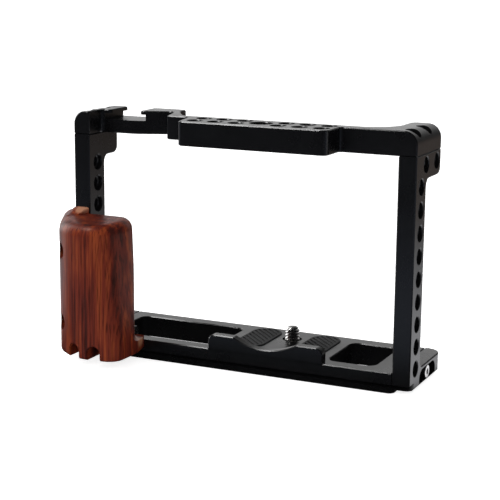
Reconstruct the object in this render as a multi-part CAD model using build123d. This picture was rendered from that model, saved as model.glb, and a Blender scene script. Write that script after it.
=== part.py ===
"""Camera cage: a milled frame that a mirrorless camera is screwed into.

Millimetres.  X runs along the cage, Y from the lens side to the back, Z up.
The origin is the middle of the base's underside.  Distances "from the front"
are measured backwards from the plane of the front faces.
"""
from build123d import *
from math import cos, radians, sin, sqrt
import os

# ---- whole frame ----
cage_width = 155.0            # over the outer faces of the two posts
post_thickness = 7.6
window_height = 87.8          # base top to underside of the bar
inner_half = cage_width / 2 - post_thickness
edge_chamfer = 0.4            # the break on every milled edge
lens_x = 13.6                 # lens axis and camera screw, right of centre

# ---- base plate, with a 38 mm tripod dovetail under it ----
base_depth = 43.0
base_thickness = 9.5
front = -base_depth / 2
flange_width = 38.0
flange_edge = 2.6             # upright edge of the dovetail
flank_rise = 2.0              # 45 degree flank above it
neck_top = flange_edge + flank_rise
flange_corner = 3.0           # plan radius of the dovetail's corners
opening_front = 6.3           # wall in front of both through openings
opening_length = 30.2
opening_radius = 4.0
opening_from_pads = 4.8       # metal left between an opening and the nearest pad
battery_wall = 6.3            # metal left outside the battery opening
access_wall = 9.9             # metal left outside the access opening

# ---- raised lip that stops the camera turning ----
lip_width = 52.4
lip_height = 6.3
lip_thickness = 4.0
lip_corner = 3.0
lens_clearance_radius = 29.0  # scallop that leaves room for a lens barrel
lens_axis_height = 41.0

# ---- camera screw, 1/4 in - 20, held captive in the base ----
unc_quarter = 6.35            # thread major diameter
screw_from_front = 30.0
screw_reach = 5.6             # thread standing above the base
screw_hole_clearance = 0.04   # radial, thread to plain bore
screw_neck = 4.9              # relieved below the thread, so the washer stays on
screw_dish, screw_dish_depth = 8.6, 1.0
head_diameter, head_height = 13.6, 2.6
head_slot_width, head_slot_depth = 1.8, 1.2
head_hex, head_hex_depth = 4.0, 3.2
head_pocket = 15.0
washer_outer, washer_thickness = 12.4, 0.6
washer_clearance = 0.05       # radial, neck to thrust washer
screw_drop = 2.0              # how far the loose screw can fall
ring_thickness, ring_groove_depth, ring_width = 0.9, 0.7, 1.5
ring_bottom = 0.8             # retaining ring above the underside
ring_clearance = 0.05         # ring in its groove, and screw head above the ring
ring_gap_angle = 40.0
ring_lug, ring_lug_hole, ring_lug_angle = 1.6, 0.7, 7.0   # eyes for the pliers

# ---- rubber pads ----
pad_width, pad_length = 14.0, 30.5
pad_spacing = 27.8
pad_thickness, pad_proud = 1.6, 0.5
pad_from_front = 25.2         # centre of the pads
pad_clearance = 0.1
rib_pitch, rib_groove, rib_depth = 2.2, 0.9, 0.45
pad_chamfer, pad_border = 0.3, 1.2

# ---- side posts ----
post_depth = 12.7
foot_bottom = 2.0
foot_fillet = 3.0
foot_plan_radius = 6.5        # outer back corner of each foot
foot_front_radius = 3.5       # outer front corner of its dovetail part
head_height_z = 10.2          # head under the bar
right_head_depth, left_head_depth = 30.7, 24.0
head_corner, head_cove = 3.2, 3.4
hole_row_from_front = 7.0
hole_row_pitch = 9.26
hole_row_first = 10.6         # height of the lowest hole
right_hole_count = 9
left_hole_count = 3           # the grip covers the rest
head_hole_pitch, head_hole_first, head_hole_drop = 13.5, 12.2, 4.3
foot_toe_radius = 4.0         # lower back corner of each foot, seen from the side
recess_width, recess_height = 21.0, 5.8       # round the right foot screw's head
recess_floor, recess_depth, recess_radius = 0.5, 2.9, 4.0
foot_screw_from_front = 22.8
foot_screw_height = 5.4

# ---- top bar ----
bar_thickness = 10.0
end_radius = 5.5              # outer top corners
bar_back = 6.0                # back edge of the bar, from the front
block_width = 0.42 * cage_width
block_x = lens_x - 0.7
block_forward = 14.2          # how far the middle block stands forward
block_front_radius, block_side_radius, block_root_radius = 2.4, 3.0, 1.5
step_width, step_from_front = 3.0, 1.9   # ledge left of the block
right_end_width = 12.6
right_end_radius = 3.4
right_sweep = 13.0            # radius of the sweep into the right end

# ---- cold shoe rail, X measured from the inner side of the left post ----
rail_front = 10.8             # front face, from the front plane
rail_front_radius = 2.0
rail_bend, rail_bend_radius = 16.0, 14.0       # here the front face turns back
notch_right, notch_depth, notch_radius = 32.5, 18.2, 3.0
ledge_left, ledge_radius = 36.8, 1.2
rail_right, rail_back, rail_corner = 33.9, 26.6, 2.4
rail_waist, waist_radius = 19.4, 4.0           # the right side runs straight to here
rail_root, root_radius = 42.4, 5.0
shoe_middle = 11.1
shoe_slot, shoe_mouth = 19.0, 13.2
shoe_floor_drop, shoe_lip = 4.2, 1.6
shoe_lip_corner = 1.8         # plan radius of the four lip corners

# ---- rows of tapped holes in the block ----
top_hole_columns = 7
top_hole_margin = 4.8         # from the block's side to the first column
top_hole_pitch = (block_width - 2 * top_hole_margin) / (top_hole_columns - 1)
top_row_spacing = 8.6
top_rows_from_front = -3.6
unc_three_eighths = 9.525

# ---- fasteners ----
m3, m3_head, m3_head_height, m3_hex = 3.0, 5.5, 3.0, 2.5
m4, m4_head, m4_head_height, m4_hex = 4.0, 7.0, 4.0, 3.0
thread_clearance = 0.02       # radial, screw to tapped hole
pass_clearance = 0.2          # radial, screw to plain hole
bar_screw_pocket = 6.4
bar_screw_web = 3.0           # bar left under the screw head
bar_screw_length = 10.0
bar_screw_first, bar_screw_pitch = 5.8, 13.2
foot_screw_length = 12.0
drill_beyond = 0.6            # blind holes run past the screw's tip
dowel, dowel_length, dowel_gap = 2.5, 10.0, 0.2   # gap behind each end
dowel_edge, dowel_height = 3.2, 6.4
hole_break = 0.4              # countersink on every hole mouth

# ---- carved wooden grip, X measured from the outer side of the left post ----
grip_bottom, grip_top = 5.3, 62.8
grip_outside = 10.8           # wood outside the post
grip_front = 27.8             # how far it stands in front of the post
grip_nose = 21.0              # where the bowed front stands out most
grip_shoulder, grip_shoulder_front = 11.0, 25.3
grip_flank, grip_flank_front, grip_flank_back = -4.2, 6.5, 4.4
grip_right, grip_right_front = 35.2, 9.0
grip_right_corner, grip_corner_front = 33.6, 25.6
toe_right = 33.7
toe_radius, right_corner_radius, nose_radius = 20.0, 7.0, 18.0
shoulder_radius, flank_radius, back_radius = 12.0, 30.0, 6.0
grip_top_radius, grip_bottom_radius = 5.0, 1.4
toe_top, toe_cove = 11.0, 2.4  # the wood under the cove runs back to the base
cove_back, cove_middle, cove_front = 26.6, 32.4, 37.6
cove_middle_front, cove_end_front, cove_radius = 5.5, 16.0, 9.0
ridge_rise, ridge_length, ridge_round = 2.8, 9.0, 1.7   # the wood climbs the front of the post
ridge_width = post_thickness - 0.7
flute_width, flute_top = 6.2, 11.8
flute_places = (14.2, 24.2)
grip_screw_heights = (18.7, 49.9)
grip_screw_length = 14.0
grip_pocket = 7.6             # counterbore that opens through the flank
grip_seat = 6.0               # wood left under each washer
grip_washer_thickness, grip_washer_outer = 0.8, 7.2

dowel_rows = (dowel_edge, base_depth - dowel_edge)
seam = base_thickness + window_height
battery_left = battery_wall - inner_half
battery_right = lens_x - (pad_spacing + pad_width) / 2 - opening_from_pads
access_left = lens_x + (pad_spacing + pad_width) / 2 + opening_from_pads
access_right = inner_half - access_wall
shoe_x = shoe_middle - inner_half
top = seam + bar_thickness


def behind(distance):
    """Y of a point this far behind the front plane."""
    return front + distance


def save(shape, name):
    export_step(shape, "parts/" + name + ".step")


def rounded_outline(corners):
    """Closed outline through (x, distance behind the front plane, corner radius)."""
    outline = make_face(Polyline(*[(x, behind(d)) for x, d, _ in corners], close=True))
    for x, distance, radius in corners:
        if radius:
            corner = outline.vertices().sort_by_distance((x, behind(distance)))[0]
            outline = fillet(corner, radius)
    return outline


def cylinder_x(radius, x_from, x_to, from_front, height):
    """A cylinder along X."""
    turned = Rot(0, 90, 0) * Cylinder(radius, x_to - x_from)
    return Pos((x_from + x_to) / 2, behind(from_front), height) * turned


def cylinder_y(radius, distance_from, distance_to, height):
    """A cylinder along Y, in line with the middle of the left post."""
    turned = Rot(90, 0, 0) * Cylinder(radius, distance_to - distance_from)
    return Pos(-bar_screw_x(), behind((distance_from + distance_to) / 2), height) * turned


def tapped_x(radius, x_from, x_to, from_front, height):
    """Cutter for a hole along X with a broken edge at both mouths."""
    cutter = cylinder_x(radius, x_from, x_to, from_front, height)
    for x, direction in ((x_from, 1), (x_to, -1)):
        mouth = Rot(0, 90 * direction, 0) * Cone(radius + 2 * hole_break, radius, 2 * hole_break)
        cutter += Pos(x, behind(from_front), height) * mouth
    return cutter


def tapped_z(radius, z_from, z_to, x, from_front):
    """Cutter for an upright hole with a broken edge at both mouths."""
    cutter = Pos(x, behind(from_front), (z_from + z_to) / 2) * Cylinder(radius, z_to - z_from)
    for z, turn in ((z_from, 0), (z_to, 180)):
        mouth = Rot(turn, 0, 0) * Cone(radius + 2 * hole_break, radius, 2 * hole_break)
        cutter += Pos(x, behind(from_front), z) * mouth
    return cutter


def cap_screw(diameter, length, head, head_height, hexagon):
    """Socket head cap screw along +Z, seated at Z = 0 with its shank below."""
    screw = Pos(0, 0, head_height / 2) * Cylinder(head / 2, head_height)
    screw = fillet(screw.edges().sort_by(Axis.Z)[-1], head_height / 10)
    screw += Pos(0, 0, -length / 2) * Cylinder(diameter / 2, length)
    screw = chamfer(screw.edges().sort_by(Axis.Z)[0], diameter / 8)
    socket = extrude(RegularPolygon(hexagon / 2, 6, major_radius=False), head_height * 0.55)
    return screw - Pos(0, 0, head_height * 0.45) * socket


# ---- base plate ----
def dovetail_profile():
    half, flange = base_depth / 2, flange_width / 2
    neck = flange - flank_rise
    points = [(-flange, 0), (flange, 0), (flange, flange_edge), (neck, neck_top),
              (half, neck_top), (half, base_thickness), (-half, base_thickness),
              (-half, neck_top), (-neck, neck_top), (-flange, flange_edge)]
    return Plane.YZ * make_face(Polyline(*points, close=True))


def through_opening(left, right):
    """Cutter with a broken upper rim."""
    outline = RectangleRounded(right - left, opening_length, opening_radius)
    rim = Pos(0, 0, base_thickness - edge_chamfer) * extrude(outline, edge_chamfer, taper=-45)
    centre = Pos((left + right) / 2, behind(opening_front + opening_length / 2), 0)
    return centre * (extrude(outline, base_thickness) + rim)


def pad_outline(width, length):
    return SlotOverall(length, width, rotation=90)


def pad_places():
    for side in (-1, 1):
        yield Pos(lens_x + side * pad_spacing / 2, behind(pad_from_front), 0)


def front_lip():
    outline = Pos(lens_x, base_thickness + lip_height / 2) * Rectangle(lip_width, lip_height)
    outline = fillet(outline.vertices().group_by(Axis.Y)[-1], lip_corner)
    outline -= Pos(lens_x, lens_axis_height) * Circle(lens_clearance_radius)
    lip = extrude(Plane.XZ * outline, -lip_thickness)
    faces = lip.faces().sort_by(Axis.Y)
    rims = (faces[0].edges() + faces[-1].edges()).filter_by(
        lambda edge: edge.center().Z > base_thickness + edge_chamfer)
    return Pos(0, front, 0) * chamfer(rims, edge_chamfer)


def round_dovetail(blank, plan):
    """Trim the dovetail to this plan and leave what is above it."""
    above = Pos(0, 0, neck_top) * extrude(Rectangle(2 * cage_width, 2 * base_depth), top)
    return blank & (extrude(plan, neck_top) + above)


def base_plate():
    plate = extrude(dovetail_profile(), inner_half, both=True)
    plate = round_dovetail(plate, RectangleRounded(2 * inner_half, flange_width, flange_corner))
    faces = plate.faces().sort_by(Axis.Z)
    ends = plate.edges().filter_by(Axis.Z).filter_by(lambda edge: edge.center().Z > neck_top)
    plate = chamfer(faces[0].edges() + faces[-1].edges() + ends, edge_chamfer)
    plate += front_lip()
    plate -= through_opening(battery_left, battery_right)
    plate -= through_opening(access_left, access_right)
    for place in pad_places():
        pocket = extrude(pad_outline(pad_width, pad_length), pad_thickness)
        plate -= place * Pos(0, 0, base_thickness + pad_proud - pad_thickness) * pocket
    axis = Pos(lens_x, behind(screw_from_front), 0)
    bore = unc_quarter / 2 + screw_hole_clearance
    plate -= axis * Pos(0, 0, base_thickness / 2) * Cylinder(bore, base_thickness)
    plate -= axis * Pos(0, 0, base_thickness) * Cylinder(screw_dish / 2, 2 * screw_dish_depth)
    plate -= axis * Cylinder(head_pocket / 2, 2 * pocket_roof())
    groove_height = ring_thickness + 2 * ring_clearance
    groove = Cylinder(head_pocket / 2 + ring_groove_depth, groove_height)
    plate -= axis * Pos(0, 0, ring_bottom + groove_height / 2) * groove
    plate -= screw_and_dowel_holes_in_base()
    return plate


def pocket_roof():
    """Height of the roof that the thrust washer bears on."""
    return ring_bottom + ring_thickness + 3 * ring_clearance + screw_drop + head_height + washer_thickness


def screw_and_dowel_holes_in_base():
    tapped, plain = m3 / 2 + thread_clearance, m3 / 2 + pass_clearance
    right_tip = cage_width / 2 - recess_depth - foot_screw_length - drill_beyond
    cutters = [
        cylinder_x(tapped, right_tip, inner_half, foot_screw_from_front, foot_screw_height),
        cylinder_x(plain, -inner_half, battery_left, foot_screw_from_front, foot_screw_height)]
    for side in (-1, 1):
        for distance in dowel_rows:
            inner = side * (inner_half - dowel_length / 2 - dowel_gap)
            outer = side * inner_half
            cutters.append(cylinder_x(dowel / 2 + thread_clearance, min(inner, outer),
                                      max(inner, outer), distance, dowel_height))
    return Compound(cutters)


# ---- side posts ----
def post_outline(head_depth):
    """Side view of a post: foot as deep as the base, column, and head under the bar."""
    flange, neck = flange_width / 2, flange_width / 2 - flank_rise
    half = base_depth / 2
    edge = flange_edge
    head_bottom = seam - head_height_z
    points = [(-flange, foot_bottom), (half, foot_bottom), (half, base_thickness),
              (behind(post_depth), base_thickness),
              (behind(post_depth), head_bottom), (behind(head_depth), head_bottom),
              (behind(head_depth), seam), (front, seam), (front, neck_top),
              (-neck, neck_top), (-flange, edge)]
    outline = make_face(Polyline(*points, close=True))

    def corner(distance, height):
        return outline.vertices().sort_by_distance((behind(distance), height))[0]

    outline = fillet(corner(base_depth, foot_bottom), foot_toe_radius)
    outline = fillet(corner(post_depth, base_thickness), foot_fillet)
    outline = fillet(corner(post_depth, head_bottom), head_cove)
    return fillet(corner(head_depth, head_bottom), head_corner)


def post_blank(side, head_depth):
    blank = extrude(Plane.YZ * post_outline(head_depth), post_thickness)
    faces = blank.faces().sort_by(Axis.X)
    blank = chamfer(faces[0].edges() + faces[-1].edges(), edge_chamfer)
    blank = Pos(inner_half if side > 0 else -cage_width / 2, 0, 0) * blank
    blank &= extrude(foot_plan(base_depth), seam)
    low = foot_plan((base_depth + flange_width) / 2)
    low = fillet(low.vertices().group_by(Axis.Y)[0], foot_front_radius)
    return round_dovetail(blank, low)


def foot_plan(depth):
    """Plan of both feet, this deep from the back of the base."""
    plan = Pos(0, behind(base_depth - depth / 2)) * Rectangle(cage_width, depth)
    return fillet(plan.vertices().group_by(Axis.Y)[-1], foot_plan_radius)


def holes_in_post(side, hole_count):
    x_low = inner_half if side > 0 else -cage_width / 2
    x_high = x_low + post_thickness
    last = hole_row_first + (right_hole_count - 1) * hole_row_pitch
    cutters = [tapped_x(unc_quarter / 2, x_low, x_high, hole_row_from_front, last - i * hole_row_pitch)
               for i in range(hole_count)]
    for i in range(2):
        distance = bar_screw_first + i * bar_screw_pitch
        depth = bar_screw_length - bar_screw_web + drill_beyond
        hole = Cylinder(m3 / 2 + thread_clearance, depth)
        cutters.append(Pos(side * bar_screw_x(), behind(distance), seam - depth / 2) * hole)
    for distance in dowel_rows:
        inner, outer = side * inner_half, side * (inner_half + dowel_length / 2 + dowel_gap)
        cutters.append(cylinder_x(dowel / 2 + thread_clearance, min(inner, outer),
                                  max(inner, outer), distance, dowel_height))
    return cutters


def bar_screw_x():
    return inner_half + post_thickness / 2


def right_post():
    post = post_blank(1, right_head_depth)
    cutters = holes_in_post(1, right_hole_count)
    for i in range(2):
        distance = head_hole_first + i * head_hole_pitch
        cutters.append(tapped_x(unc_quarter / 2, inner_half, cage_width / 2,
                                distance, seam - head_hole_drop))
    recess = Rectangle(recess_width, recess_height)
    recess = fillet(recess.vertices().group_by(Axis.Y)[-1], recess_radius)
    recess = extrude(Plane.YZ * recess, recess_depth)
    cutters.append(Pos(cage_width / 2 - recess_depth, behind(foot_screw_from_front),
                       foot_bottom + recess_floor + recess_height / 2) * recess)
    cutters.append(cylinder_x(m3 / 2 + pass_clearance, inner_half, cage_width / 2,
                              foot_screw_from_front, foot_screw_height))
    return post - cutters


def left_post():
    post = post_blank(-1, left_head_depth)
    cutters = holes_in_post(-1, left_hole_count)
    depth = grip_screw_length - grip_seat - grip_washer_thickness + drill_beyond
    for height in grip_screw_heights:
        cutters.append(cylinder_y(m4 / 2 + thread_clearance, 0, depth, height))
    tip = battery_left - foot_screw_length - drill_beyond
    cutters.append(cylinder_x(m3 / 2 + thread_clearance, tip, -inner_half,
                              foot_screw_from_front, foot_screw_height))
    return post - cutters


# ---- top bar ----
def bar_outline():
    """Plan of the bar, from the left end along the front and back along the rear."""
    end, left = cage_width / 2, -inner_half
    block_left, block_right = block_x - block_width / 2, block_x + block_width / 2
    return rounded_outline([
        # x, distance behind the front plane, corner radius
        (-end, 0, 0), (left, 0, 2 * edge_chamfer), (left, rail_front, rail_front_radius),
        (left + rail_bend, rail_front, rail_bend_radius), (left + notch_right, notch_depth, notch_radius),
        (left + ledge_left, step_from_front, ledge_radius),
        (block_left - step_width, step_from_front, block_front_radius),
        (block_left, -block_forward, block_front_radius),
        (block_right, -block_forward, block_side_radius), (block_right, 0, block_root_radius),
        (end, 0, 0), (end, right_head_depth, 0),
        (end - right_end_width, right_head_depth, right_end_radius),
        (end - right_end_width, bar_back, right_sweep), (left + rail_root, bar_back, root_radius),
        (left + rail_right, rail_waist, waist_radius), (left + rail_right, rail_back, rail_corner),
        (-end, rail_back, 0)])


def shoe_channel():
    """T-slot that a flash or microphone foot slides into from the back."""
    floor = top - shoe_floor_drop
    slot_height = shoe_floor_drop - shoe_lip
    length = 2 * rail_back
    slot = Pos(shoe_x, behind(rail_back), floor + slot_height / 2) * Box(shoe_slot, length, slot_height)
    mouth = Pos(shoe_x, behind(rail_back), top) * Box(shoe_mouth, length, 2 * shoe_lip)
    return slot + mouth


def top_holes():
    radius = unc_quarter / 2
    middle = top_hole_columns // 2
    for column in range(top_hole_columns):
        x = block_x + (column - middle) * top_hole_pitch
        if column == middle:
            yield tapped_z(unc_three_eighths / 2, seam, top, x, top_rows_from_front)
        else:
            for row in (-0.5, 0.5):
                yield tapped_z(radius, seam, top, x, top_rows_from_front + row * top_row_spacing)


def bar_rims(bar):
    """Edges round the flat top and the underside, without the smooth joins of the ends."""
    levels = bar.faces().filter_by(Axis.Z).group_by(Axis.Z)
    rims = ShapeList()
    for face in levels[0] + levels[-1]:
        rims += face.edges()
    smooth = cage_width / 2 - end_radius
    return rims.filter_by(lambda edge: abs(abs(edge.center().X) - smooth) > 0.01)


def top_bar():
    bar = extrude(Pos(0, 0, seam) * bar_outline(), bar_thickness)
    rounded = bar.edges().filter_by(Axis.Y).filter_by(
        lambda edge: abs(abs(edge.center().X) - cage_width / 2) < 0.01 and edge.center().Z > seam + 1)
    bar = fillet(rounded, end_radius)
    bar -= shoe_channel()
    lip_corners = bar.edges().filter_by(Axis.Z).filter_by(
        lambda edge: abs(abs(edge.center().X - shoe_x) - shoe_mouth / 2) < 0.01)
    bar = fillet(lip_corners, shoe_lip_corner)
    bar = chamfer(bar_rims(bar), edge_chamfer)
    for cutter in top_holes():
        bar -= cutter
    for side in (-1, 1):
        for i in range(2):
            axis = Pos(side * bar_screw_x(), behind(bar_screw_first + i * bar_screw_pitch), 0)
            pocket_floor = seam + bar_screw_web
            shank_hole = Cylinder(m3 / 2 + pass_clearance, bar_thickness)
            head_hole = Cylinder(bar_screw_pocket / 2, bar_thickness)
            bar -= axis * Pos(0, 0, seam + bar_thickness / 2) * shank_hole
            bar -= axis * Pos(0, 0, pocket_floor + bar_thickness / 2) * head_hole
    return bar


# ---- wooden grip ----
def grip_plan(corners):
    """Outline through (right of the post's outer side, in front of the front plane, corner radius)."""
    return rounded_outline([(x - cage_width / 2, -forward, radius) for x, forward, radius in corners])


def grip_cove():
    """Cutter behind the inner side of the grip, which leaves the toe below it."""
    far = cove_front + grip_outside
    plan = grip_plan([
        (cove_back, -1.0, 0), (cove_middle, cove_middle_front, cove_radius),
        (cove_front, cove_end_front, 0), (far, cove_end_front, 0), (far, -1.0, 0)])
    cutter = extrude(Pos(0, 0, toe_top) * plan, grip_top)
    limit = cove_front - cage_width / 2
    wall = cutter.edges().group_by(Axis.Z)[0].filter_by(
        lambda edge: edge.center().X < limit and edge.center().Y < front)
    return fillet(wall, toe_cove)


def ridge():
    """Wood that climbs the front face of the post."""
    root = grip_top - ridge_round
    side = Polyline((behind(-ridge_length), grip_top), (front, grip_top + ridge_rise),
                    (front, root), (behind(-ridge_length), root), close=True)
    wedge = extrude(Plane.YZ * make_face(side), ridge_width)
    outer = wedge.edges().group_by(Axis.X)[0]
    wedge = fillet(outer.filter_by(lambda edge: edge.center().Z > grip_top), ridge_round)
    return Pos(-cage_width / 2, 0, 0) * wedge


def wood_grip():
    plan = grip_plan([
        (0, 0, 0), (toe_right, 0, 0), (grip_right, grip_right_front, toe_radius),
        (grip_right_corner, grip_corner_front, right_corner_radius), (grip_nose, grip_front, nose_radius),
        (grip_shoulder, grip_shoulder_front, shoulder_radius), (grip_flank, grip_flank_front, flank_radius),
        (-grip_outside, -grip_flank_back, back_radius), (-grip_outside, -post_depth, grip_top_radius),
        (0, -post_depth, 0)])
    grip = extrude(Pos(0, 0, grip_bottom) * plan, grip_top - grip_bottom)
    outside = -cage_width / 2

    def carved(edge):
        return edge.center().Y < front - 0.05 or edge.center().X < outside - 0.05

    grip = fillet(grip.edges().group_by(Axis.Z)[-1].filter_by(carved), grip_top_radius)
    grip = fillet(grip.edges().group_by(Axis.Z)[0].filter_by(carved), grip_bottom_radius)
    grip += ridge()
    grip -= grip_cove()
    for place in flute_places:
        roof = flute_top - flute_width / 2
        flute = Pos(outside + place, roof) * Circle(flute_width / 2)
        flute += Pos(outside + place, roof / 2) * Rectangle(flute_width, roof)
        grip -= Pos(0, front + 1.0, 0) * extrude(Plane.XZ * flute, grip_front + 3.0)
    for height in grip_screw_heights:
        grip -= cylinder_y(m4 / 2 + pass_clearance, -grip_seat, 0, height)
        grip -= cylinder_y(grip_pocket / 2, -2 * grip_front, -grip_seat, height)
    return grip


# ---- camera screw and what holds it in the base ----
def camera_screw():
    """Slotted screw with a hexagon socket, head down, its thread through the base."""
    roof = pocket_roof()
    head_top = roof - washer_thickness
    screw = Pos(0, 0, head_top - head_height / 2) * Cylinder(head_diameter / 2, head_height)
    rims = screw.edges().filter_by(GeomType.CIRCLE)
    screw = chamfer(rims, edge_chamfer)
    neck_length = base_thickness - head_top
    screw += Pos(0, 0, head_top + neck_length / 2) * Cylinder(screw_neck / 2, neck_length)
    thread = Pos(0, 0, base_thickness + screw_reach / 2) * Cylinder(unc_quarter / 2, screw_reach)
    screw += chamfer(thread.edges().sort_by(Axis.Z)[-1], unc_quarter / 8)
    underside = Pos(0, 0, head_top - head_height)
    screw -= underside * Box(head_slot_width, head_diameter, 2 * head_slot_depth)
    socket = RegularPolygon(head_hex / 2, 6, major_radius=False)
    screw -= underside * extrude(socket, head_hex_depth)
    return screw_axis() * screw


def screw_axis():
    return Pos(lens_x, behind(screw_from_front), 0)


def thrust_washer():
    """Slippery washer between the screw head and the roof of its pocket."""
    ring = Cylinder(washer_outer / 2, washer_thickness)
    ring -= Cylinder(screw_neck / 2 + washer_clearance, washer_thickness)
    return screw_axis() * Pos(0, 0, pocket_roof() - washer_thickness / 2) * ring


def retaining_ring():
    """Open spring ring in a groove of the pocket, with a plier hole in each end."""
    outer = head_pocket / 2 + ring_groove_depth - ring_clearance
    inner = head_pocket / 2 - ring_width
    ring = Circle(outer) - Circle(inner)
    half_gap = ring_gap_angle / 2
    reach = 2 * outer
    ring -= make_face(Polyline((0, 0), (reach * cos(radians(half_gap)), reach * sin(radians(half_gap))),
                               (reach * cos(radians(half_gap)), -reach * sin(radians(half_gap))),
                               close=True))
    for side in (-1, 1):
        angle = radians(half_gap + ring_lug_angle) * side
        centre = Pos(inner * cos(angle), inner * sin(angle))
        ring += centre * Circle(ring_lug)
        ring -= centre * Circle(ring_lug_hole)
    solid = extrude(ring, ring_thickness)
    return screw_axis() * Pos(0, 0, ring_bottom + ring_clearance) * solid


# ---- rubber pads ----
def rubber_pad():
    """Obround pad with ribs that run diagonally across it."""
    outline = pad_outline(pad_width - 2 * pad_clearance, pad_length - 2 * pad_clearance)
    pad = extrude(outline, pad_thickness)
    pad = chamfer(pad.edges().group_by(Axis.Z)[-1], pad_chamfer)
    count = int(pad_length / rib_pitch) + 2
    grooves = None
    for i in range(-count // 2, count // 2 + 1):
        place = Pos(0, i * rib_pitch * sqrt(2), 0) * Rot(0, 0, -45)
        bar = place * Box(2 * pad_length, rib_groove, rib_depth)
        grooves = bar if grooves is None else grooves + bar
    ribbed = pad_outline(pad_width - 2 * pad_border, pad_length - 2 * pad_border)
    inside = extrude(ribbed, rib_depth)
    cutter = Pos(0, 0, pad_thickness - rib_depth) * inside
    cutter = cutter & (Pos(0, 0, pad_thickness - rib_depth / 2) * grooves)
    return Pos(0, 0, base_thickness + pad_proud - pad_thickness) * (pad - cutter)


# ---- fasteners ----
def bar_screw(side, index):
    screw = cap_screw(m3, bar_screw_length, m3_head, m3_head_height, m3_hex)
    distance = bar_screw_first + index * bar_screw_pitch
    return Pos(side * bar_screw_x(), behind(distance), seam + bar_screw_web) * screw


def foot_screw(side):
    screw = cap_screw(m3, foot_screw_length, m3_head, m3_head_height, m3_hex)
    seat = cage_width / 2 - recess_depth if side > 0 else battery_left
    return Pos(seat, behind(foot_screw_from_front), foot_screw_height) * Rot(0, 90, 0) * screw


def foot_dowels(side):
    pin = chamfer(Cylinder(dowel / 2, dowel_length).edges(), dowel / 8)
    return [Pos(side * inner_half, behind(distance), dowel_height) * Rot(0, 90, 0) * pin
            for distance in dowel_rows]


def grip_screw(height):
    screw = cap_screw(m4, grip_screw_length, m4_head, m4_head_height, m4_hex)
    place = Pos(-bar_screw_x(), behind(-grip_seat - grip_washer_thickness), height)
    return place * Rot(90, 0, 0) * screw


def grip_washer(height):
    ring = Cylinder(grip_washer_outer / 2, grip_washer_thickness)
    ring -= Cylinder(m4 / 2 + pass_clearance, grip_washer_thickness)
    place = Pos(-bar_screw_x(), behind(-grip_seat - grip_washer_thickness / 2), height)
    return place * Rot(90, 0, 0) * ring


os.makedirs("parts", exist_ok=True)
pad_left, pad_right = pad_places()
lower, upper = grip_screw_heights
pieces = {
    "base_plate": base_plate(),
    "right_post": right_post(),
    "left_post": left_post(),
    "top_bar": top_bar(),
    "wood_grip": wood_grip(),
    "left_pad": pad_left * rubber_pad(),
    "right_pad": pad_right * rubber_pad(),
    "camera_screw": camera_screw(),
    "thrust_washer": thrust_washer(),
    "retaining_ring": retaining_ring(),
    "left_front_bar_screw": bar_screw(-1, 0),
    "left_back_bar_screw": bar_screw(-1, 1),
    "right_front_bar_screw": bar_screw(1, 0),
    "right_back_bar_screw": bar_screw(1, 1),
    "left_foot_screw": foot_screw(-1),
    "right_foot_screw": foot_screw(1),
    "left_dowels": Compound(foot_dowels(-1)),
    "right_dowels": Compound(foot_dowels(1)),
    "upper_grip_screw": grip_screw(upper),
    "lower_grip_screw": grip_screw(lower),
    "upper_grip_washer": grip_washer(upper),
    "lower_grip_washer": grip_washer(lower),
}
for name, shape in pieces.items():
    save(shape, name)
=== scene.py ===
import bmesh
import bpy
from math import cos, pi, radians, sin, tan, tau
from mathutils import Matrix, Vector


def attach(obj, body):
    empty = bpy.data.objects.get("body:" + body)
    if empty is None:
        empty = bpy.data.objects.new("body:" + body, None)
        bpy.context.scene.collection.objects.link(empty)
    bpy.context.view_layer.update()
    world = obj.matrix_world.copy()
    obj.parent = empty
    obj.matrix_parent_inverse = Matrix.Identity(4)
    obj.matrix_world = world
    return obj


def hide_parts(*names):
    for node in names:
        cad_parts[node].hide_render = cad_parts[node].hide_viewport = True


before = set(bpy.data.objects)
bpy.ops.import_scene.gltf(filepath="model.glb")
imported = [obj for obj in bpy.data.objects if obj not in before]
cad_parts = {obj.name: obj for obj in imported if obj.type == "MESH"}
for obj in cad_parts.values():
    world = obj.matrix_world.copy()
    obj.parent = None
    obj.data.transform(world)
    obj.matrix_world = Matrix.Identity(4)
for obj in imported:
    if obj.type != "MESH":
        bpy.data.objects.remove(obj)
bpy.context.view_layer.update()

# ---- View of the cage ----
# A 100 mm lens stands a little over half a metre off the right front corner,
# above the top bar, and looks down at the cage.
lens = bpy.data.cameras.new("studio_camera")
lens.lens, lens.sensor_width = 100.1, 36.0
lens.clip_start, lens.clip_end = 0.05, 60.0
studio_camera = bpy.data.objects.new("studio_camera", lens)
bpy.context.scene.collection.objects.link(studio_camera)
swing, dip, tilt = radians(24.87), radians(11.79), radians(0.53)
forward = Vector((-sin(swing) * cos(dip), cos(swing) * cos(dip), -sin(dip)))
level = Vector((cos(swing), sin(swing), 0.0))
upward = level.cross(forward)
right = level * cos(tilt) + upward * sin(tilt)
upright = upward * cos(tilt) - level * sin(tilt)
turned = Matrix((right, upright, -forward)).transposed().to_4x4()
lens_place = (0.24317, -0.53150, 0.17140)
studio_camera.matrix_world = Matrix.Translation(lens_place) @ turned
bpy.context.scene.camera = studio_camera
bpy.context.scene.view_settings.view_transform = "Standard"


# ---- Base plate, posts and top bar ----
# Milled from aluminium bar, blasted with fine glass beads and anodised black.
# The dye is nearly even; handling leaves faint cloudy patches in the sheen.
def node_maker(material):
    """Adds a shader node by type, with its plain values and its links in."""
    tree = material.node_tree

    def add(kind, values=None, links=None, **settings):
        node = tree.nodes.new("ShaderNode" + kind)
        for name, value in settings.items():
            setattr(node, name, value)
        for name, value in (values or {}).items():
            node.inputs[name].default_value = value
        for name, source in (links or {}).items():
            tree.links.new(source, node.inputs[name])
        return node

    return add


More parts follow.
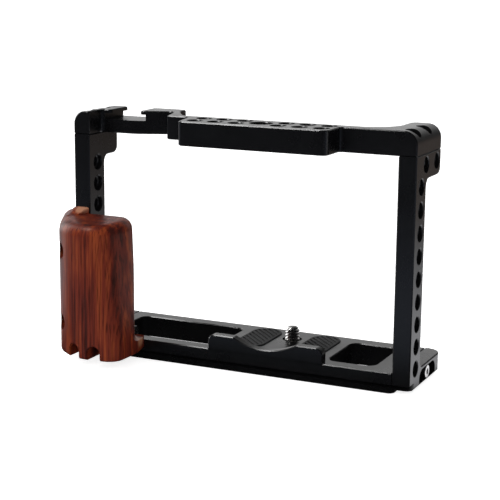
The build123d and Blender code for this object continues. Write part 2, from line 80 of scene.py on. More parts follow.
def new_material(name):
    material = bpy.data.materials.new(name)
    material.use_nodes = True
    material.node_tree.nodes.clear()
    return material, node_maker(material)


def ramp(add, source, stops):
    """Colour ramp with stops of (position, (r, g, b))."""
    node = add("ValToRGB", links={"Fac": source})
    band = node.color_ramp
    while len(band.elements) < len(stops):
        band.elements.new(0.5)
    for element, (place, colour) in zip(band.elements, stops):
        element.position = place
        element.color = (*colour, 1.0)
    return node.outputs["Color"]


def blasted_anodising():
    material, add = new_material("blasted_black_anodising")
    place = add("TexCoord").outputs["Object"]
    cloud = add("TexNoise", {"Scale": 55.0, "Detail": 3.0, "Roughness": 0.55}, {"Vector": place})
    bead = add("TexNoise", {"Scale": 5200.0, "Detail": 2.0, "Roughness": 0.6}, {"Vector": place})
    dye = ramp(add, cloud.outputs["Fac"], [
        (0.3, (0.0024, 0.0024, 0.0027)), (0.7, (0.0036, 0.0036, 0.0040))])
    sheen = add("MapRange", {"From Min": 0.3, "From Max": 0.7, "To Min": 0.25, "To Max": 0.32},
                {"Value": cloud.outputs["Fac"]})
    grain = add("Bump", {"Strength": 0.25, "Distance": 0.00002}, {"Height": bead.outputs["Fac"]})
    metal = add("BsdfPrincipled", {"Metallic": 0.0, "Specular IOR Level": 0.5},
                {"Base Color": dye, "Roughness": sheen.outputs["Result"],
                 "Normal": grain.outputs["Normal"]})
    add("OutputMaterial", links={"Surface": metal.outputs["BSDF"]})
    return material


black_anodising = blasted_anodising()
for name in ("base_plate", "right_post", "left_post", "top_bar"):
    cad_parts[name].data.materials.clear()
    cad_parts[name].data.materials.append(black_anodising)


# ---- Wooden grip ----
# Carved from rosewood with the grain upright, then sanded and oiled.  Growth rings
# lean a little, and pale tan patches at the ridge and the toe are painted highlights.
def oiled_rosewood():
    material, add = new_material("oiled_rosewood")
    link = material.node_tree.links.new

    place = add("TexCoord").outputs["Object"]
    leaning = add("Mapping", {"Location": (0.062, 0.012, 0.0), "Rotation": (0.10, -0.07, 0.0)},
                  {"Vector": place}).outputs["Vector"]
    trunk = add("Mapping", {"Scale": (1.0, 0.8, 0.07)}, {"Vector": leaning}).outputs["Vector"]
    rings = add("TexWave", {"Scale": 62.0, "Distortion": 5.5, "Detail": 3.0, "Detail Scale": 3.2,
                            "Detail Roughness": 0.6}, {"Vector": trunk},
                wave_type="RINGS", rings_direction="Z")
    upright = add("Mapping", {"Scale": (1.0, 0.35, 0.022)}, {"Vector": place}).outputs["Vector"]
    streak = add("TexNoise", {"Scale": 950.0, "Detail": 4.0, "Roughness": 0.6, "Distortion": 0.3},
                 {"Vector": upright})
    broad = add("TexNoise", {"Scale": 260.0, "Detail": 2.0, "Roughness": 0.5}, {"Vector": upright})
    figure = add("Math", {1: 0.16}, {0: rings.outputs["Fac"]}, operation="MULTIPLY")
    figure = add("Math", {1: 0.50}, {0: broad.outputs["Fac"], 2: figure.outputs["Value"]},
                 operation="MULTIPLY_ADD")
    figure = add("Math", {1: 0.85}, {0: streak.outputs["Fac"], 2: figure.outputs["Value"]},
                 operation="MULTIPLY_ADD")
    colour = ramp(add, figure.outputs["Value"], [
        (0.58, (0.044, 0.0082, 0.0062)), (0.68, (0.086, 0.0118, 0.0068)),
        (0.79, (0.120, 0.0165, 0.0078)), (0.94, (0.205, 0.037, 0.0110))])
    long_pores = add("Mapping", {"Scale": (1.0, 0.5, 0.03)}, {"Vector": place}).outputs["Vector"]
    pores = add("TexNoise", {"Scale": 2300.0, "Detail": 1.0, "Roughness": 0.5}, {"Vector": long_pores})
    pit = add("MapRange", {"From Min": 0.36, "From Max": 0.45, "To Min": 0.5, "To Max": 1.0},
              {"Value": pores.outputs["Fac"]}).outputs["Result"]
    pitted = add("Mix", {"Factor": 1.0}, data_type="RGBA", blend_type="MULTIPLY")
    link(colour, pitted.inputs["A"])
    link(pit, pitted.inputs["B"])
    ragged_noise = add("TexNoise", {"Scale": 300.0}, {"Vector": upright}).outputs["Color"]
    ragged = add("VectorMath", {"Scale": 0.006}, {0: ragged_noise}, operation="SCALE").outputs["Vector"]
    shifted = add("VectorMath", {}, {0: place, 1: ragged}, operation="ADD").outputs["Vector"]
    # Pale tan painted highlights on the ridge and the toe, with ragged edges.
    at_ridge, at_toe = (-0.0708, -0.0200, 0.0696), (-0.0385, -0.0225, 0.0135)
    from_ridge, from_toe = (
        add("VectorMath", {1: spot}, {0: shifted}, operation="DISTANCE").outputs["Value"]
        for spot in (at_ridge, at_toe))
    nearest = add("Math", links={0: from_ridge, 1: from_toe}, operation="MINIMUM").outputs["Value"]
    painted_highlight_mask = add("MapRange", {"From Min": 0.0022, "From Max": 0.0040, "To Min": 0.75, "To Max": 0.0},
              {"Value": nearest}).outputs["Result"]
    highlight_painted = add("Mix", {"B": (0.42, 0.20, 0.115, 1.0)}, data_type="RGBA")
    link(pitted.outputs["Result"], highlight_painted.inputs["A"])
    link(painted_highlight_mask, highlight_painted.inputs["Factor"])
    relief = add("Bump", {"Strength": 0.25, "Distance": 0.00006}, {"Height": pit})
    gloss = add("MapRange", {"From Min": 0.3, "From Max": 0.7, "To Min": 0.46, "To Max": 0.36},
                {"Value": streak.outputs["Fac"]})
    wood = add("BsdfPrincipled", {"Specular IOR Level": 0.22, "Specular Tint": (1.0, 0.72, 0.60, 1.0)},
               {"Base Color": highlight_painted.outputs["Result"], "Roughness": gloss.outputs["Result"],
                "Normal": relief.outputs["Normal"]})
    add("OutputMaterial", links={"Surface": wood.outputs["BSDF"]})
    return material


def rounded_ring(corners, inset, height, steps=8):
    """Outline at a height; a corner is x, y, radius and the inset's share on the edge after it."""
    sides = []
    for (x, y, _, share), following in zip(corners, corners[1:] + corners[:1]):
        along = Vector((following[0] - x, following[1] - y)).normalized()
        sides.append((Vector((x, y)) + Vector((-along.y, along.x)) * inset * share, along))
    ring = []
    least_radius = 0.3
    earlier = sides[-1:] + sides[:-1]
    for (_, _, radius, _), (start, entering), (end, leaving) in zip(corners, earlier, sides):
        corner = start + entering * ((end - start).cross(leaving) / entering.cross(leaving))
        turn = -entering.angle_signed(leaving)
        hand = 1 if turn > 0 else -1
        radius = max(radius - inset * hand, least_radius) if radius else 0.0
        outward = Vector((entering.y, -entering.x)) * hand
        centre = corner - entering * radius * tan(abs(turn) / 2) - outward * radius
        for step in range(steps + 1 if radius else 1):
            angle = turn * step / steps
            spoke = Vector((outward.x * cos(angle) - outward.y * sin(angle),
                            outward.x * sin(angle) + outward.y * cos(angle)))
            ring.append((centre.x + spoke.x * radius, centre.y + spoke.y * radius, height))
    return ring


def stacked(name, rings):
    """Closed solid through rings with the same number of points."""
    form = bmesh.new()
    levels = [[form.verts.new(point) for point in ring] for ring in rings]
    for under, over in zip(levels, levels[1:]):
        for k in range(len(under)):
            form.faces.new((under[k - 1], under[k], over[k], over[k - 1]))
    form.faces.new(list(reversed(levels[0])))
    form.faces.new(levels[-1])
    bmesh.ops.remove_doubles(form, verts=form.verts, dist=1e-5)
    bmesh.ops.recalc_face_normals(form, faces=form.faces)
    mesh = bpy.data.meshes.new(name)
    form.to_mesh(mesh)
    form.free()
    solid = bpy.data.objects.new(name, mesh)
    bpy.context.scene.collection.objects.link(solid)
    return solid


def quarter_turn(steps):
    """Sine and cosine at even steps of a quarter turn, for a rounded edge."""
    return [(sin(pi / 2 * k / steps), cos(pi / 2 * k / steps)) for k in range(steps + 1)]


# The grip's sizes are in millimetres, and its mesh is brought to metres at the end.
MM = 0.001
front_plane = -21.5           # the cage's front faces
post_outside, post_middle_x = -77.5, -73.7
wing_outside, wing_back, wing_front = -87.6, -8.8, -15.5
lean_foot, lean_height = 12, 46
grip_low, grip_high, base_round, brow_round = 5.3, 62.8, 1.4, 5.0
flat_border = 0.5             # flat rim inside the rounded edges
upright_levels = (8.0, 11.0, 14.0, 20.0, 26.0, 32.0, 38.0, 44.0, 50.0, 55.0)
beyond, above = -60.0, 70.0   # clear of the wood in front and on top


def grip_corners(height, contact=0.0):
    """Plan at a height; the inner side leans, and contact is the inset's share against the cage."""
    rise = min(max((height - lean_foot) / lean_height, 0.0), 1.0)
    return [(post_outside, wing_back, 0, 1), (wing_outside, wing_back, 5.6, 1),
            (wing_outside, wing_front, 7, 1), (-79.9, -30.4, 25, 1), (-73.7, -40.7, 16, 1),
            (-62.5, -49.1, 20, 1), (-42.5 - 5.0 * rise, -47.1, 7 + 3.5 * rise, 1),
            (-41.8 - 4.2 * rise, -30.5, 20, 1), (-43.6 - 4.0 * rise, front_plane, 0, contact),
            (post_outside, front_plane, 0, contact)]


def grip_ring(height, inset):
    return rounded_ring(grip_corners(height), inset, height)


def end_ring(height, rounding):
    inset = rounding + flat_border
    return rounded_ring(grip_corners(height, flat_border / inset), inset, height)


grip_rings = [end_ring(grip_low, base_round)]
for s, c in quarter_turn(4):
    grip_rings.append(grip_ring(grip_low + base_round * (1 - c), base_round * (1 - s)))
for height in upright_levels:
    grip_rings.append(grip_ring(height, 0.0))
for s, c in quarter_turn(12):
    grip_rings.append(grip_ring(grip_high - brow_round * (1 - s), brow_round * (1 - c)))
grip_rings.append(end_ring(grip_high, brow_round))
carved_grip = stacked("carved_grip", grip_rings)

# A cove behind the inner side leaves a toe on the base and a rounded brow above.
toe_top, toe_round, cove_brow = 11.0, 2.4, 3.0
cove_back, cove_front, cove_right = -20.5, -37.5, -29.1
cove_plan = [(-50.9, cove_back, 0, 1), (-45.1, -27.0, 9, 1), (-39.9, cove_front, 0, 1),
             (cove_right, cove_front, 0, 1), (cove_right, cove_back, 0, 1)]
cove_rings = [rounded_ring(cove_plan, toe_round * (1 - s), toe_top + toe_round * (1 - c))
              for s, c in quarter_turn(6)]
cove_rings += [rounded_ring(cove_plan, -cove_brow * (1 - c), grip_high - cove_brow + cove_brow * s)
               for s, c in quarter_turn(8)]
cove_rings.append(rounded_ring(cove_plan, -cove_brow, above))
cutters = [stacked("cove", cove_rings)]

# Two round-topped flutes run through the foot.
flute_middles, flute_radius, flute_middle_height, flute_open = (-63.3, -53.3), 3.1, 8.7, 3.0
arch_steps = 24
for middle in flute_middles:
    arch = [(middle + flute_radius * cos(pi * k / arch_steps),
             flute_middle_height + flute_radius * sin(pi * k / arch_steps))
            for k in range(arch_steps + 1)]
    arch += [(middle - flute_radius, flute_open), (middle + flute_radius, flute_open)]
    cutters.append(stacked("flute", [[(x, y, z) for x, z in arch] for y in (cove_back, beyond)]))

# Each screw has a pocket that breaks out through the flank, and a bore to the post.
pocket_radius, pocket_seat, bore_radius, bore_back, bore_front = 3.8, -27.5, 2.2, -21.0, -28.0
lower_screw, upper_screw, drill_steps = 18.7, 49.9, 48
for middle in (lower_screw, upper_screw):
    for name, radius, back, opening in (("pocket", pocket_radius, pocket_seat, beyond),
                                        ("bore", bore_radius, bore_back, bore_front)):
        rim = [(post_middle_x + radius * cos(tau * k / drill_steps),
                middle + radius * sin(tau * k / drill_steps)) for k in range(drill_steps)]
        cutters.append(stacked(name, [[(x, y, z) for x, z in rim] for y in (back, opening)]))
for cutter in cutters:
    cut = carved_grip.modifiers.new(cutter.name, "BOOLEAN")
    cut.operation, cut.solver = "DIFFERENCE", "EXACT"
    cut.object = cutter
finished_cuts = carved_grip.evaluated_get(bpy.context.evaluated_depsgraph_get())
cut_mesh = bpy.data.meshes.new_from_object(finished_cuts)

# The wood climbs the post's front in a low ridge that dies out on the brow.  A
# point of its section is a share of the reach, a height and a share of the rise.
ridge_section = (
    (0.0, 61.5, 0.0), (0.0, 62.3, 1.0), (0.04, 62.7, 1.0), (0.50, 62.8, 1.0), (0.64, 62.8, 0.92),
    (0.76, 62.8, 0.66), (0.88, 62.75, 0.28), (1.0, 62.6, 0.0), (1.0, 61.0, 0.0))
ridge_rise = ((-21.5, 2.8), (-22.5, 2.5), (-24.0, 1.7), (-25.5, 1.0), (-27.0, 0.45), (-28.5, 0.12),
              (-29.5, 0.0))
ridge_inner, inner_slant, ridge_reach, reach_slant = -70.6, 0.35, 10.4, 0.83
ridge_rings = []
for y, rise in ridge_rise:
    inner = ridge_inner + inner_slant * (y - front_plane)
    reach = ridge_reach + reach_slant * (y - front_plane)
    ridge_rings.append([(inner - reach * part, y, base + rise * share)
                        for part, base, share in ridge_section])
ridge = stacked("ridge", ridge_rings)

# The flat top and underside are filled afresh, because the cuts leave them in overlapping faces.
joined = bmesh.new()
joined.from_mesh(cut_mesh)
for height, side in ((grip_high, 1), (grip_low, -1)):
    flat = [face for face in joined.faces
            if len(face.verts) > 4 and abs(face.calc_center_median().z - height) < 1e-3
            and abs(face.normal.z) > 0.999]
    bmesh.ops.delete(joined, geom=flat, context="FACES")
    rim = [edge for edge in joined.edges if edge.is_boundary]
    filled = bmesh.ops.triangle_fill(joined, edges=rim, use_beauty=True, normal=(0, 0, side))["geom"]
    for item in filled:
        if isinstance(item, bmesh.types.BMFace) and item.normal.z * side < 0:
            item.normal_flip()
joined.from_mesh(ridge.data)
joined.transform(Matrix.Scale(MM, 4))
carved_mesh = bpy.data.meshes.new("carved_grip")
joined.to_mesh(carved_mesh)
joined.free()
carved_grip.modifiers.clear()
carved_grip.data = carved_mesh
for helper in cutters + [ridge]:
    bpy.data.objects.remove(helper)
carved_mesh.materials.append(oiled_rosewood())
for face in carved_mesh.polygons:
    face.use_smooth = True
carved_mesh.set_sharp_from_angle(angle=radians(24))
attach(carved_grip, "cage")
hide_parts("wood_grip")


# ---- Front lip root ----
# The chamfer of the base's front edge stops at the lip; a flush strip of the
# same metal carries the lip's root down over it.
lip_middle, lip_half, root_back, root_low, root_high = 13.6, 26.2, -21.0, 8.9, 9.6
root_section = ((root_back, root_high), (front_plane, root_high), (front_plane, root_low),
                (root_back, root_low))
lip_root = stacked("lip_root", [[(x * MM, y * MM, z * MM) for y, z in root_section]
                                for x in (lip_middle - lip_half, lip_middle + lip_half)])
lip_root.data.materials.append(black_anodising)
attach(lip_root, "cage")


# ---- Rubber pads ----
# Moulded black rubber with diagonal ribs, glued into shallow recesses so that
# the camera doesn't slide on the metal.
def moulded_rubber():
    material, add = new_material("moulded_black_rubber")
    place = add("TexCoord").outputs["Object"]
    skin = add("TexNoise", {"Scale": 2400.0, "Detail": 3.0, "Roughness": 0.6}, {"Vector": place})
    dust = add("TexNoise", {"Scale": 180.0, "Detail": 4.0}, {"Vector": place})
    tone = ramp(add, dust.outputs["Fac"], [(0.35, (0.012, 0.012, 0.013)), (0.7, (0.022, 0.022, 0.023))])
    dull = add("MapRange", {"From Min": 0.3, "From Max": 0.7, "To Min": 0.55, "To Max": 0.72},
               {"Value": dust.outputs["Fac"]})
    relief = add("Bump", {"Strength": 0.3, "Distance": 0.00004}, {"Height": skin.outputs["Fac"]})
    rubber = add("BsdfPrincipled", {}, {"Base Color": tone, "Roughness": dull.outputs["Result"],
                                        "Normal": relief.outputs["Normal"]})
    add("OutputMaterial", links={"Surface": rubber.outputs["BSDF"]})
    return material


black_rubber = moulded_rubber()
for name in ("left_pad", "right_pad"):
    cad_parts[name].data.materials.clear()
    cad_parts[name].data.materials.append(black_rubber)


# ---- Camera screw ----
# Turned from stainless steel: a slotted head with a hexagon socket below the
# base, a relieved neck, and a rolled 1/4 in - 20 thread standing above it.
def turned_steel(name, tone, roughness):
    """Bright in the tone given and a little darker in the marks of the tool."""
    material, add = new_material(name)
    place = add("TexCoord").outputs["Object"]
    marks = add("TexNoise", {"Scale": 900.0, "Detail": 3.0, "Roughness": 0.7}, {"Vector": place})
    darker = tuple(0.82 * channel for channel in tone)
    colour = ramp(add, marks.outputs["Fac"], [(0.3, darker), (0.7, tone)])
    rough = add("MapRange", {"From Min": 0.3, "From Max": 0.7, "To Min": roughness - 0.06,
                             "To Max": roughness + 0.08}, {"Value": marks.outputs["Fac"]})
    relief = add("Bump", {"Strength": 0.12, "Distance": 0.00002}, {"Height": marks.outputs["Fac"]})
    steel = add("BsdfPrincipled", {"Metallic": 1.0},
                {"Base Color": colour, "Roughness": rough.outputs["Result"],
                 "Normal": relief.outputs["Normal"]})
    add("OutputMaterial", links={"Surface": steel.outputs["BSDF"]})
    return material


def thread_form(bottom, top, major, pitch, steps=40):
    """Rolled outside thread on +Z between two heights, closed at both ends."""
    rolled_depth = 0.61 * pitch
    minor = major - rolled_depth
    turns = int((top - bottom) / pitch) + 3
    start = bottom - pitch * 1.5
    profile = [(minor, 0.0), (minor, 0.125), (major, 0.4375), (major, 0.5625), (minor, 0.875),
               (minor, 1.0)]
    form = bmesh.new()
    ring = [form.verts.new((r, 0.0, start + z * pitch)) for r, z in profile]
    edges = [form.edges.new(pair) for pair in zip(ring, ring[1:])]
    bmesh.ops.spin(form, geom=ring + edges, cent=(0, 0, 0), axis=(0, 0, 1), angle=tau * turns,
                   dvec=(0, 0, pitch / steps), steps=steps * turns, use_merge=False)
    bmesh.ops.remove_doubles(form, verts=form.verts, dist=pitch * 0.01)
    for level, side in ((top, 1), (bottom, -1)):
        parts = form.verts[:] + form.edges[:] + form.faces[:]
        bmesh.ops.bisect_plane(form, geom=parts, plane_co=(0, 0, level), plane_no=(0, 0, side),
                               clear_outer=True)
        rim = [edge for edge in form.edges
               if edge.is_boundary and all(abs(vert.co.z - level) < 1e-7 for vert in edge.verts)]
        bmesh.ops.contextual_create(form, geom=rim)
    bmesh.ops.recalc_face_normals(form, faces=form.faces)
    return form


def finished(form, name, material, body, place=Matrix.Identity(4), angle=35):
    """Mesh object at the origin with its place in its mesh, riding on a body."""
    form.transform(place)
    mesh = bpy.data.meshes.new(name)
    form.to_mesh(mesh)
    form.free()
    mesh.materials.append(material)
    mesh.set_sharp_from_angle(angle=radians(angle))
    piece = bpy.data.objects.new(name, mesh)
    bpy.context.scene.collection.objects.link(piece)
    for face in mesh.polygons:
        face.use_smooth = True
    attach(piece, body)
    return piece


FRONT = front_plane * MM      # from here on in metres
screw_x, screw_y = 0.0136, FRONT + 0.0300
base_top, screw_tip, quarter_major, quarter_pitch = 0.0095, 0.0151, 0.003175, 0.00127
tip_radius, tip_taper, overlap = 0.0021, 0.9, 0.00003
threaded = thread_form(base_top, screw_tip, quarter_major, quarter_pitch)
for vertex in threaded.verts:
    below_tip = max(screw_tip - vertex.co.z, 0.0)
    limit = tip_radius + below_tip * tip_taper
    if vertex.co.xy.length > limit:
        vertex.co.xy *= limit / vertex.co.xy.length
bright_steel = turned_steel("stainless_steel", (0.72, 0.715, 0.70), 0.24)
below = bmesh.new()
below.from_mesh(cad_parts["camera_screw"].data)
bmesh.ops.remove_doubles(below, verts=below.verts, dist=1e-7)
bmesh.ops.bisect_plane(below, geom=below.verts[:] + below.edges[:] + below.faces[:],
                       plane_co=(0, 0, base_top + overlap), plane_no=(0, 0, 1), clear_outer=True)
bmesh.ops.contextual_create(below, geom=[edge for edge in below.edges if edge.is_boundary])
below.transform(Matrix.Translation((-screw_x, -screw_y, 0)))
lower_half = bpy.data.meshes.new("lower_half")
below.to_mesh(lower_half)
below.free()
threaded.from_mesh(lower_half)
bpy.data.meshes.remove(lower_half)
screw_piece = finished(threaded, "threaded_camera_screw", bright_steel, "camera_screw",
                       Matrix.Translation((screw_x, screw_y, 0)))
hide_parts("camera_screw")


# ---- Thrust washer, retaining ring and dowels ----
# A punched nylon washer lets the screw turn freely; a blued spring-steel ring, sprung
# into a groove of the pocket, keeps the screw from falling out.  Two push-fit pins of
# the same steel in each foot keep the posts from turning.
def natural_nylon():
    material, add = new_material("natural_nylon")
    place = add("TexCoord").outputs["Object"]
    cloud = add("TexNoise", {"Scale": 400.0, "Detail": 2.0}, {"Vector": place})
    tone = ramp(add, cloud.outputs["Fac"], [(0.3, (0.66, 0.64, 0.58)), (0.7, (0.76, 0.75, 0.70))])
    relief = add("Bump", {"Strength": 0.1, "Distance": 0.00002}, {"Height": cloud.outputs["Fac"]})
    nylon = add("BsdfPrincipled", {"Roughness": 0.42, "Subsurface Weight": 0.1},
                {"Base Color": tone, "Normal": relief.outputs["Normal"]})
    add("OutputMaterial", links={"Surface": nylon.outputs["BSDF"]})
    return material


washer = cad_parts["thrust_washer"]
washer.data.materials.clear()
washer.data.materials.append(natural_nylon())
spring_steel = turned_steel("blued_spring_steel", (0.20, 0.20, 0.22), 0.34)
for name in ("retaining_ring", "left_dowels", "right_dowels"):
    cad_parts[name].data.materials.clear()
    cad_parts[name].data.materials.append(spring_steel)


# ---- Socket screws ----
# Cold-headed cap screws with a knurled head and a broached hexagon socket:
# black oxide in the top bar and the grip, bright steel in the two feet.
def cap_screw(diameter, pitch, length, head, head_height, hexagon, sides=72):
    """Screw on +Z, seated at height 0, with knurl, socket and rolled thread."""
    edge_round, socket_depth, drill_point = head_height * 0.09, head_height * 0.5, hexagon * 0.12
    socket_chamfer, knurl_share = head * 0.012, 0.965
    end_radius, end_taper, overlap_up = diameter * 0.36, 0.9, 0.00002
    form = bmesh.new()
    bmesh.ops.create_cone(form, cap_ends=True, segments=sides, radius1=head / 2, radius2=head / 2,
                          depth=head_height, matrix=Matrix.Translation((0, 0, head_height / 2)))
    crown = max(form.faces, key=lambda face: face.calc_center_median().z)
    bmesh.ops.bevel(form, geom=list(crown.edges), offset=edge_round, offset_type="OFFSET",
                    segments=3, profile=0.5, affect="EDGES", material=-1)
    crown = max(form.faces, key=lambda face: face.calc_center_median().z)
    bmesh.ops.inset_region(form, faces=[crown], thickness=head * 0.16)
    crown = min((face for face in form.faces
                 if len(face.verts) == sides and face.calc_center_median().z > head_height * 0.9),
                key=lambda face: face.calc_area())
    for vertex in crown.verts:
        around = vertex.co.xy.angle_signed(Vector((1, 0)))
        flat = hexagon / 2 / cos((around % (pi / 3)) - pi / 6)
        vertex.co.xy = vertex.co.xy.normalized() * flat
    bmesh.ops.inset_region(form, faces=[crown], thickness=socket_chamfer, depth=-socket_chamfer)
    deep = bmesh.ops.extrude_discrete_faces(form, faces=[crown])["faces"]
    bmesh.ops.translate(form, verts=deep[0].verts, vec=(0, 0, -socket_depth))
    bmesh.ops.inset_region(form, faces=deep, thickness=hexagon * 0.2, depth=-drill_point)
    for vertex in form.verts:
        place = round(vertex.co.xy.angle_signed(Vector((1, 0))) / (tau / sides)) % 2
        radius = vertex.co.xy.length
        if place and radius > head * 0.4999 and head_height * 0.12 < vertex.co.z < head_height * 0.93:
            vertex.co.xy *= knurl_share
    thread = thread_form(-length, overlap_up, diameter / 2, pitch, steps=24)
    for vertex in thread.verts:
        limit = end_radius + (vertex.co.z + length) * end_taper
        if vertex.co.xy.length > limit:
            vertex.co.xy *= limit / vertex.co.xy.length
    shank = bpy.data.meshes.new("shank")
    thread.to_mesh(shank)
    thread.free()
    form.from_mesh(shank)
    bpy.data.meshes.remove(shank)
    return form


black_steel = turned_steel("black_oxide_steel", (0.075, 0.073, 0.07), 0.36)
# Diameter, pitch, length, head diameter, head height and hexagon of each size.
m3 = (0.003, 0.0005, 0.010, 0.0055, 0.003, 0.0025)
m3_long = (0.003, 0.0005, 0.012, 0.0055, 0.003, 0.0025)
m4 = (0.004, 0.0007, 0.014, 0.007, 0.004, 0.003)
seam, end_x, bar_seat = 0.0973, -post_middle_x * MM, 0.003
front_row, back_row, first_turn = 0.0058, 0.0190, 0.4
foot_y, foot_z, right_seat, left_seat = FRONT + 0.0228, 0.0054, 0.0746, -0.0636
washer_thickness = 0.0008
grip_seat = pocket_seat * MM - washer_thickness
for side, end in ((-1, "left"), (1, "right")):
    for distance, row in ((front_row, "front"), (back_row, "back")):
        node = end + "_" + row + "_bar_screw"
        spot = Matrix.Translation((side * end_x, FRONT + distance, seam + bar_seat))
        spot = spot @ Matrix.Rotation(first_turn + side, 4, "Z")
        piece = finished(cap_screw(*m3), node + "_detail", black_steel, "cage", spot)
        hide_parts(node)
    seat = right_seat if side > 0 else left_seat
    spot = Matrix.Translation((seat, foot_y, foot_z)) @ Matrix.Rotation(pi / 2, 4, "Y")
    piece = finished(cap_screw(*m3_long), end + "_foot_screw_detail", bright_steel, "cage", spot)
    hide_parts(end + "_foot_screw")
for row, height in (("upper", upper_screw), ("lower", lower_screw)):
    spot = Matrix.Translation((-end_x, grip_seat, height * MM)) @ Matrix.Rotation(pi / 2, 4, "X")
    piece = finished(cap_screw(*m4), row + "_grip_screw_detail", black_steel, "cage", spot)
    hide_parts(row + "_grip_screw")
    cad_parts[row + "_grip_washer"].data.materials.clear()
    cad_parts[row + "_grip_washer"].data.materials.append(black_steel)


# ---- Tapped holes ----
# Every accessory hole is tapped right through: 1/4 in - 20, and 3/8 in - 16 in
# the middle of the forward block.  The ridges carry the same black anodising.
def tapped_ridge(major, pitch, low, high, steps=32):
    """Inside thread on +Z, its crests reaching in from the wall of the hole."""
    tapped_depth, in_wall = 0.54 * pitch, 0.00004
    minor, root = major - tapped_depth, major + in_wall
    profile = [(root, -0.42), (minor, -0.06), (minor, 0.06), (root, 0.42)]
    turns = (high - low) / pitch - 1.0
    form = bmesh.new()
    ring = [form.verts.new((r, 0.0, low + (z + 0.5) * pitch)) for r, z in profile]
    edges = [form.edges.new(pair) for pair in zip(ring, ring[1:] + ring[:1])]
    form.faces.new(ring)
    count = int(steps * turns)
    bmesh.ops.spin(form, geom=ring + edges, cent=(0, 0, 0), axis=(0, 0, 1), angle=tau * count / steps,
                   dvec=(0, 0, pitch / steps), steps=count, use_merge=False)
    open_end = [edge for edge in form.edges if edge.is_boundary]
    if open_end:
        bmesh.ops.contextual_create(form, geom=open_end)
    bmesh.ops.recalc_face_normals(form, faces=form.faces)
    return form


def all_ridges(name, places):
    """The ridges of several holes in one piece; each starts a little inside its mouth."""
    mouth = 0.0003
    whole = bmesh.new()
    for major, pitch, length, spot in places:
        form = tapped_ridge(major, pitch, -length / 2 + mouth, length / 2 - mouth)
        form.transform(spot)
        mesh = bpy.data.meshes.new("ridge")
        form.to_mesh(mesh)
        form.free()
        whole.from_mesh(mesh)
        bpy.data.meshes.remove(mesh)
    piece = finished(whole, name, black_anodising, "cage", angle=50)


eighths_major, eighths_pitch = 0.0047625, 0.0015875
block_x, block_y, column_pitch, row_gap = 0.0129, FRONT - 0.0036, 0.00925, 0.0086
bar_middle, bar_tapped, post_tapped = 0.1023, 0.0092, 0.0068
bar_places = []
for column in range(-3, 4):
    if column == 0:
        spot = Matrix.Translation((block_x, block_y, bar_middle))
        bar_places.append((eighths_major, eighths_pitch, bar_tapped, spot))
    else:
        for row in (-0.5, 0.5):
            spot = Matrix.Translation((block_x + column * column_pitch, block_y + row * row_gap, bar_middle))
            bar_places.append((quarter_major, quarter_pitch, bar_tapped, spot))
all_ridges("bar_tapping", bar_places)

row_y, lowest, row_pitch, row_count = FRONT + 0.007, 0.0106, 0.00926, 9
head_hole_z, head_hole_distances = seam - 0.0043, (0.0122, 0.0257)
sideways = Matrix.Rotation(pi / 2, 4, "Y")


def post_place(x, y, z):
    return quarter_major, quarter_pitch, post_tapped, Matrix.Translation((x, y, z)) @ sideways


right_places = [post_place(end_x, row_y, lowest + k * row_pitch) for k in range(row_count)]
right_places += [post_place(end_x, FRONT + distance, head_hole_z) for distance in head_hole_distances]
all_ridges("right_post_tapping", right_places)
above_grip = range(row_count - 3, row_count)
all_ridges("left_post_tapping", [post_place(-end_x, row_y, lowest + k * row_pitch) for k in above_grip])


# ---- Studio ----
# A pale floor in a pale room, with a softbox overhead, two soft fills in front and a
# strip at the left.  In reflections the room is bright low behind on the left, and the
# floor is bright behind the cage, dull further off and dark against its front.
def pale_floor():
    half_width, half_depth, shade_width = 0.076, 0.021, 0.008
    material, add = new_material("pale_floor")
    path = add("LightPath")
    split = add("SeparateXYZ", links={"Vector": add("TexCoord").outputs["Object"]})
    behind = add("MapRange", {"From Min": -0.5, "From Max": 0.5, "To Min": 0.0, "To Max": 1.0},
                 {"Value": split.outputs["Y"]})
    # In reflections the floor's glow is painted by distance: bright behind the cage, dull further off, and
    # dark as a painted shadow along its front.
    table = ramp(add, behind.outputs["Result"], [
        (0.05, (0.03, 0.03, 0.035)), (0.20, (0.08, 0.09, 0.11)), (0.31, (0.38, 0.43, 0.55)),
        (0.41, (0.32, 0.37, 0.47)), (0.445, (0.01, 0.01, 0.01)), (0.478, (0.01, 0.01, 0.01)),
        (0.50, (1.2, 1.2, 1.25)), (0.58, (1.0, 1.0, 1.03)), (0.68, (0.56, 0.56, 0.575)),
        (0.78, (0.46, 0.46, 0.47)), (0.83, (0.19, 0.158, 0.140))])
    # Under the cage's footprint the reflected floor is painted near black, a painted shadow that fades out
    # over shade_width.
    across = add("Math", links={0: split.outputs["X"]}, operation="ABSOLUTE")
    along = add("Math", links={0: split.outputs["Y"]}, operation="ABSOLUTE")
    outside_x = add("Math", {1: half_width}, {0: across.outputs["Value"]}, operation="SUBTRACT")
    outside_y = add("Math", {1: half_depth}, {0: along.outputs["Value"]}, operation="SUBTRACT")
    clear = add("Math", links={0: outside_x.outputs["Value"], 1: outside_y.outputs["Value"]},
                operation="MAXIMUM")
    outside_painted_shadow = add("MapRange", {"From Min": 0.0, "From Max": shade_width, "To Min": 0.02, "To Max": 1.0},
                    {"Value": clear.outputs["Value"]})
    shown = add("Math", {1: 0.8}, {0: path.outputs["Is Camera Ray"]}, operation="MULTIPLY")
    paint = add("BsdfDiffuse", {"Color": (0.86, 0.86, 0.86, 1.0)})
    glow = add("Emission", links={"Strength": shown.outputs["Value"]})
    lit = add("AddShader")
    mirrored = add("Emission", links={"Color": table, "Strength": outside_painted_shadow.outputs["Result"]})
    both = add("MixShader", links={"Fac": path.outputs["Is Glossy Ray"]})
    for source, target in (
            (paint.outputs["BSDF"], lit.inputs[0]), (glow.outputs["Emission"], lit.inputs[1]),
            (lit.outputs["Shader"], both.inputs[1]), (mirrored.outputs["Emission"], both.inputs[2])):
        material.node_tree.links.new(source, target)
    add("OutputMaterial", links={"Surface": both.outputs["Shader"]})
    return material


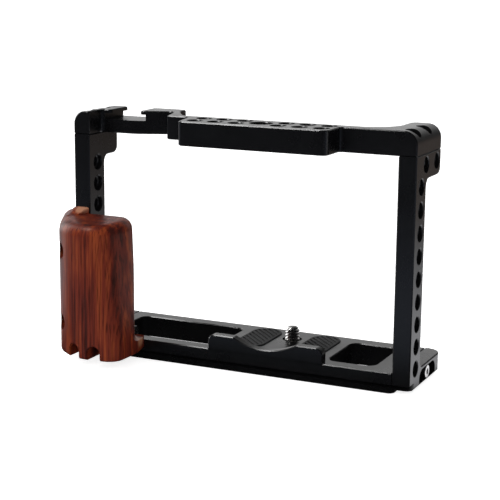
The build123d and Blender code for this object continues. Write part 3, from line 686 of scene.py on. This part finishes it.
floor_radius, floor_height = 14.0, -0.0001
ground = bmesh.new()
bmesh.ops.create_circle(ground, cap_ends=True, segments=96, radius=floor_radius,
                        matrix=Matrix.Translation((0, 0, floor_height)))
floor_mesh = bpy.data.meshes.new("studio_floor")
ground.to_mesh(floor_mesh)
ground.free()
floor_mesh.materials.append(pale_floor())
studio_floor = bpy.data.objects.new("studio_floor", floor_mesh)
bpy.context.scene.collection.objects.link(studio_floor)

room = bpy.data.worlds.new("pale_room")
bpy.context.scene.world = room
room.use_nodes = True
room.node_tree.nodes.clear()
add = node_maker(room)
path = add("LightPath")
split = add("SeparateXYZ", links={"Vector": add("TexCoord").outputs["Generated"]})
behind = add("MapRange", {"From Min": -0.2, "From Max": 0.6, "To Min": 0.03, "To Max": 1.0},
             {"Value": split.outputs["Y"]})
low = add("MapRange", {"From Min": 0.25, "From Max": 0.45, "To Min": 1.0, "To Max": 0.06},
          {"Value": split.outputs["Z"]})
leftward = add("MapRange", {"From Min": 0.0, "From Max": 0.2, "To Min": 1.0, "To Max": 0.06},
               {"Value": split.outputs["X"]})
wall = add("Math", links={0: behind.outputs["Result"], 1: low.outputs["Result"]}, operation="MULTIPLY")
mirrored = add("Math", links={0: wall.outputs["Value"], 1: leftward.outputs["Result"]}, operation="MULTIPLY")
by_gloss = add("Mix", {"A": 0.38}, {"Factor": path.outputs["Is Glossy Ray"], "B": mirrored.outputs["Value"]})
by_view = add("Mix", {"B": 1.0}, {"Factor": path.outputs["Is Camera Ray"], "A": by_gloss.outputs["Result"]})
background = add("Background", {"Color": (1, 1, 1, 1)}, {"Strength": by_view.outputs["Result"]})
add("OutputWorld", links={"Surface": background.outputs["Background"]})


def soft_lamp(name, place, target, size, watts, tall=None):
    light = bpy.data.lights.new(name, "AREA")
    light.shape = "RECTANGLE"
    light.size = size
    light.size_y = tall or size
    light.energy = watts
    lamp = bpy.data.objects.new(name, light)
    lamp.location = place
    lamp.rotation_mode = "QUATERNION"
    lamp.rotation_quaternion = (Vector(target) - Vector(place)).to_track_quat("-Z", "Y")
    bpy.context.scene.collection.objects.link(lamp)
    return lamp


soft_lamp("overhead_softbox", (-0.62, -0.30, 1.33), (0, 0, 0.05), 0.32, 9.0)
front_fill = soft_lamp("front_fill", (-0.7, -1.3, 0.9), (-0.04, 0, 0.05), 0.8, 6.4)
front_fill.visible_glossy = False
right_fill = soft_lamp("right_fill", (0.55, -1.1, 0.5), (-0.06, -0.04, 0.04), 0.6, 5.0)
right_fill.visible_glossy = False
soft_lamp("left_strip", (-1.2, 0.35, 0.35), (-0.06, 0, 0.05), 0.4, 5.0, tall=1.0)
